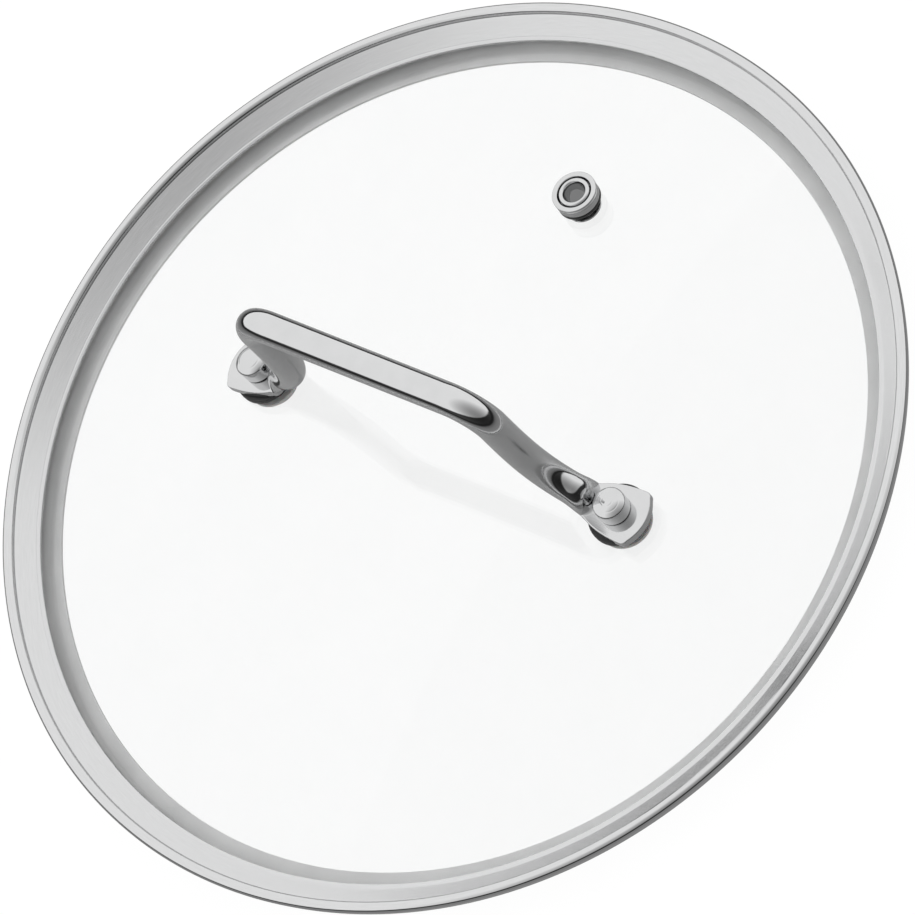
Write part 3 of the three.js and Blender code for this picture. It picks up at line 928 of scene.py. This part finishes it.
def make_screw(side, place):
    bottom = SCREW_HEAD_TOP - SCREW_HEAD_HEIGHT
    head = [
        (0, bottom),
        *((SCREW_HEAD_RADIUS * share, bottom + up) for share, up in SCREW_CROWN),
        (SCREW_HEAD_RADIUS, SCREW_HEAD_TOP - SCREW_EDGE),
        (SCREW_HEAD_RADIUS - SCREW_EDGE, SCREW_HEAD_TOP),
        (SCREW_RADIUS, SCREW_HEAD_TOP),
    ]
    shank = []
    pitch = THREAD_PITCH
    turns = int((SCREW_REACH - pitch - THREAD_START) / pitch)
    for i in range(turns):
        z = THREAD_START + i * pitch
        shank += [(SCREW_RADIUS, z), (SCREW_RADIUS - THREAD_DEPTH, z + pitch / 2)]
    tip = [
        (SCREW_RADIUS, THREAD_START + turns * pitch),
        (SCREW_RADIUS - SCREW_CHAMFER, SCREW_REACH),
        (0, SCREW_REACH),
    ]
    piece = new_piece(f"screw_head_{side}", turned_mesh("screw", head + shank + tip, 64), place)
    slots = []
    for angle in (0, math.pi / 2):
        shape = bmesh.new()
        bmesh.ops.create_cube(shape, size=1)
        size = (RECESS_LENGTH * MM, RECESS_WIDTH * MM, 2 * RECESS_DEPTH * MM)
        bmesh.ops.scale(shape, vec=size, verts=shape.verts)
        mesh = bpy.data.meshes.new("slot")
        shape.to_mesh(mesh)
        shape.free()
        at = place @ Matrix.Translation((0, 0, bottom * MM)) @ Matrix.Rotation(angle, 4, "Z")
        slots.append(new_piece("slot", mesh, at))
    combine(piece, slots, "DIFFERENCE")
    shade(piece, 32)
    finish_piece(piece, SATIN_STEEL, "satin_steel", f"screw_{side}")


def make_fixing(side, place):
    make_turned(
        f"cap_nut_{side}", nut_profile(), place, TURNED_STEEL, "polished_steel", f"dome_nut_{side}"
    )
    make_turned(
        f"gasket_upper_{side}",
        upper_gasket_profile(),
        place,
        BLACK_SILICONE,
        "black_silicone",
        f"upper_gasket_{side}",
    )
    make_turned(
        f"gasket_lower_{side}",
        ring_profile(
            BORE_RADIUS,
            LOWER_GASKET_RADIUS,
            LOWER_GASKET_TOP - LOWER_GASKET_THICKNESS,
            LOWER_GASKET_TOP,
            SOFT_EASE,
        ),
        place,
        PALE_SILICONE,
        "pale_silicone",
        f"lower_gasket_{side}",
    )
    make_turned(
        f"washer_lower_{side}",
        ring_profile(
            BORE_RADIUS,
            LOWER_WASHER_RADIUS,
            LOWER_WASHER_TOP - LOWER_WASHER_THICKNESS,
            LOWER_WASHER_TOP,
            HARD_EASE,
        ),
        place,
        SATIN_STEEL,
        "satin_steel",
        f"lower_washer_{side}",
    )
    make_screw(side, place)


# ---------------------------------------------------------------- steam vent

COLLAR_BOTTOM = 2 * CLEARANCE + VENT_GASKET_THICKNESS
COLLAR_TOP = COLLAR_BOTTOM + COLLAR_HEIGHT
EYELET_RADIUS = VENT_BORE_RADIUS + EYELET_WALL
FLARE_TOP = LOWER_GASKET_TOP  # the tube is rolled out under the glass


def collar_profile():
    inner = EYELET_RADIUS + CLEARANCE
    return eased([
        (inner, COLLAR_BOTTOM),
        (COLLAR_RADIUS - COLLAR_WAIST, COLLAR_BOTTOM),
        (COLLAR_RADIUS - COLLAR_WAIST, COLLAR_TOP - COLLAR_GROOVE[0]),
        (COLLAR_RADIUS - COLLAR_GROOVE_DEPTH, COLLAR_TOP - COLLAR_GROOVE[1]),
        (COLLAR_RADIUS, COLLAR_TOP - COLLAR_GROOVE[2]),
        (COLLAR_RADIUS, COLLAR_TOP),
        (COLLAR_RECESS_RADIUS, COLLAR_TOP - COLLAR_TAPER[0]),
        (COLLAR_RECESS_RADIUS - COLLAR_TAPER[1], COLLAR_TOP - COLLAR_RECESS_DEPTH),
        (inner, COLLAR_TOP - COLLAR_RECESS_DEPTH),
    ], COLLAR_EASE)


def eyelet_profile():
    roll_r = EYELET_RADIUS + EYELET_ROLL - EYELET_WALL / 2
    roll_z = COLLAR_TOP - EYELET_ROLL + EYELET_PROUD
    flare_bottom = FLARE_TOP - EYELET_WALL
    return [
        (VENT_BORE_RADIUS, flare_bottom + EYELET_MOUTH),
        (VENT_BORE_RADIUS + EYELET_MOUTH_BEND, flare_bottom + EYELET_MOUTH_BEND),
        (VENT_BORE_RADIUS + EYELET_MOUTH, flare_bottom),
        *((EYELET_FLARE_RADIUS - inward, flare_bottom + up) for inward, up in EYELET_FLARE_BEND),
        (EYELET_FLARE_RADIUS, FLARE_TOP - EYELET_EDGE),
        (EYELET_FLARE_RADIUS - EYELET_EDGE, FLARE_TOP),
        (EYELET_RADIUS, FLARE_TOP),
        (EYELET_RADIUS, roll_z - EYELET_ROLL * EYELET_ROLL_FOOT),
        *arc(roll_r, roll_z, EYELET_ROLL, -35, 165, 20),
        (VENT_BORE_RADIUS, roll_z - EYELET_DROP),
    ]


def make_vent():
    inner = EYELET_RADIUS + CLEARANCE
    make_turned(
        "vent_collar_ring", collar_profile(), VENT, TURNED_STEEL, "polished_steel", "vent_collar"
    )
    make_turned(
        "vent_tube", eyelet_profile(), VENT, TURNED_STEEL, "polished_steel", "vent_eyelet"
    )
    make_turned(
        "vent_gasket_upper",
        ring_profile(
            inner,
            VENT_GASKET_RADIUS,
            CLEARANCE,
            CLEARANCE + VENT_GASKET_THICKNESS,
            VENT_GASKET_EASE,
        ),
        VENT,
        BLACK_SILICONE,
        "black_silicone",
        "vent_upper_gasket",
    )


make_glass()
make_rim()
make_handle()
for side, place in FIXINGS.items():
    make_fixing(side, place)
make_vent()

# ---------------------------------------------------------------- floor and light

FLOOR_HALF = 6  # metres
FLOOR_GAP = 0.00005  # metres below the lid's foot
FLOOR_LIGHT = 0.97
FLOOR_TINT = 0.045
FLOOR_GLOW = (0.32, 0.02)  # seen in the steel, near the lid and far from it
FLOOR_POOL = (0.12, 0.5)  # metres, over which it falls from one to the other


def make_floor():
    """A plain pale floor, evenly bright to the eye; in reflections it shows instead a painted pool of light,
    brightest near the lid. It is seen through from below.
    """
    mesh = bpy.data.meshes.new("floor")
    h = FLOOR_HALF
    mesh.from_pydata([(-h, -h, 0), (h, -h, 0), (h, h, 0), (-h, h, 0)], [], [(0, 1, 2, 3)])
    floor = new_piece("floor", mesh, Matrix.Translation((0, 0, -FLOOR_GAP)))
    nodes = Nodes("floor")
    path = nodes.add("ShaderNodeLightPath")
    mirrored = nodes.math("GREATER_THAN", path.outputs["Glossy Depth"], 0.5)
    pale = nodes.add("ShaderNodeEmission")
    pale.inputs["Strength"].default_value = FLOOR_LIGHT
    matt = nodes.add("ShaderNodeBsdfDiffuse")
    matt.inputs["Color"].default_value = (FLOOR_TINT, FLOOR_TINT, FLOOR_TINT, 1)
    seen = nodes.add("ShaderNodeAddShader")
    nodes.join(pale.outputs[0], seen.inputs[0])
    nodes.join(matt.outputs[0], seen.inputs[1])
    # painted reflection: to reflected rays the floor glows as a pool of light that is brightest near the lid
    # and fades away from it
    grey = nodes.add("ShaderNodeEmission")
    where = nodes.add("ShaderNodeTexCoord").outputs["Object"]
    far = nodes.add("ShaderNodeVectorMath")
    far.operation = "LENGTH"
    nodes.join(where, far.inputs[0])
    pool = nodes.between(far.outputs["Value"], FLOOR_GLOW[0], FLOOR_GLOW[1], *FLOOR_POOL)
    nodes.join(pool, grey.inputs["Strength"])
    pick = nodes.add("ShaderNodeMixShader")
    nodes.join(mirrored, pick.inputs[0])
    nodes.join(seen.outputs[0], pick.inputs[1])
    nodes.join(grey.outputs[0], pick.inputs[2])
    clear = nodes.add("ShaderNodeBsdfTransparent")
    sided = nodes.add("ShaderNodeMixShader")
    nodes.join(nodes.add("ShaderNodeNewGeometry").outputs["Backfacing"], sided.inputs[0])
    nodes.join(pick.outputs[0], sided.inputs[1])
    nodes.join(clear.outputs[0], sided.inputs[2])
    nodes.join(sided.outputs[0], nodes.output.inputs["Surface"])
    mesh.materials.append(nodes.material)


STUDIO_BRIGHT = 1.12
STUDIO_DIM = 0.33
DIM_SIDE = (0.852, -0.31, 0.423)  # the darker end of the room
DIM_START = 0.4  # cosine from that direction where the light begins to fall
DIM_FULL = 1  # and where it has fallen all the way
SKIRTING_LIGHT = 0.06  # of the light above it
SKIRTING_HEIGHT = (0.03, 0.09)  # where it gives way to the wall, as a sine
SKIRTING_TILT = (-0.199, 0.237, 0.951)  # it stands higher at the dim end
LAMP_WATTS = 1.5


def make_world():
    """An even white studio with a dark skirting, fading smoothly to grey at one end of the room."""
    world = bpy.data.worlds.new("studio")
    world.use_nodes = True
    tree = world.node_tree
    ground = tree.nodes["Background"]
    where = tree.nodes.new("ShaderNodeTexCoord")
    along = tree.nodes.new("ShaderNodeVectorMath")
    along.operation = "DOT_PRODUCT"
    along.inputs[1].default_value = DIM_SIDE
    fade = tree.nodes.new("ShaderNodeMapRange")
    fade.inputs["From Min"].default_value = DIM_START
    fade.inputs["From Max"].default_value = DIM_FULL
    fade.inputs["To Min"].default_value = STUDIO_BRIGHT
    fade.inputs["To Max"].default_value = STUDIO_DIM
    above = tree.nodes.new("ShaderNodeVectorMath")
    above.operation = "DOT_PRODUCT"
    above.inputs[1].default_value = SKIRTING_TILT
    skirting = tree.nodes.new("ShaderNodeMapRange")
    skirting.inputs["From Min"].default_value = SKIRTING_HEIGHT[0]
    skirting.inputs["From Max"].default_value = SKIRTING_HEIGHT[1]
    skirting.inputs["To Min"].default_value = SKIRTING_LIGHT
    skirting.inputs["To Max"].default_value = 1
    light = tree.nodes.new("ShaderNodeMath")
    light.operation = "MULTIPLY"
    tree.links.new(where.outputs["Generated"], along.inputs[0])
    tree.links.new(where.outputs["Generated"], above.inputs[0])
    tree.links.new(above.outputs["Value"], skirting.inputs["Value"])
    tree.links.new(along.outputs["Value"], fade.inputs["Value"])
    tree.links.new(fade.outputs["Result"], light.inputs[0])
    tree.links.new(skirting.outputs["Result"], light.inputs[1])
    tree.links.new(light.outputs["Value"], ground.inputs["Strength"])
    ground.inputs["Color"].default_value = (1, 1, 1, 1)
    bpy.context.scene.world = world


def softbox(name, azimuth, elevation, width, height, watts, distance=1.4):
    """A large soft lamp that faces the lid from that direction."""
    a, e = math.radians(azimuth), math.radians(elevation)
    away = Vector((math.cos(a) * math.cos(e), math.sin(a) * math.cos(e), math.sin(e)))
    lamp = bpy.data.lights.new(name, "AREA")
    lamp.shape = "RECTANGLE"
    lamp.size, lamp.size_y = width, height
    lamp.energy = watts
    holder = bpy.data.objects.new(name, lamp)
    facing = away.to_track_quat("Z", "Y").to_matrix().to_4x4()
    holder.matrix_world = Matrix.Translation(away * distance) @ facing
    holder.visible_glossy = False
    bpy.context.scene.collection.objects.link(holder)


make_floor()
make_world()
softbox("softbox_back", azimuth=180, elevation=38, width=1.9, height=1.3, watts=LAMP_WATTS)

bpy.context.scene.view_settings.view_transform = "Standard"
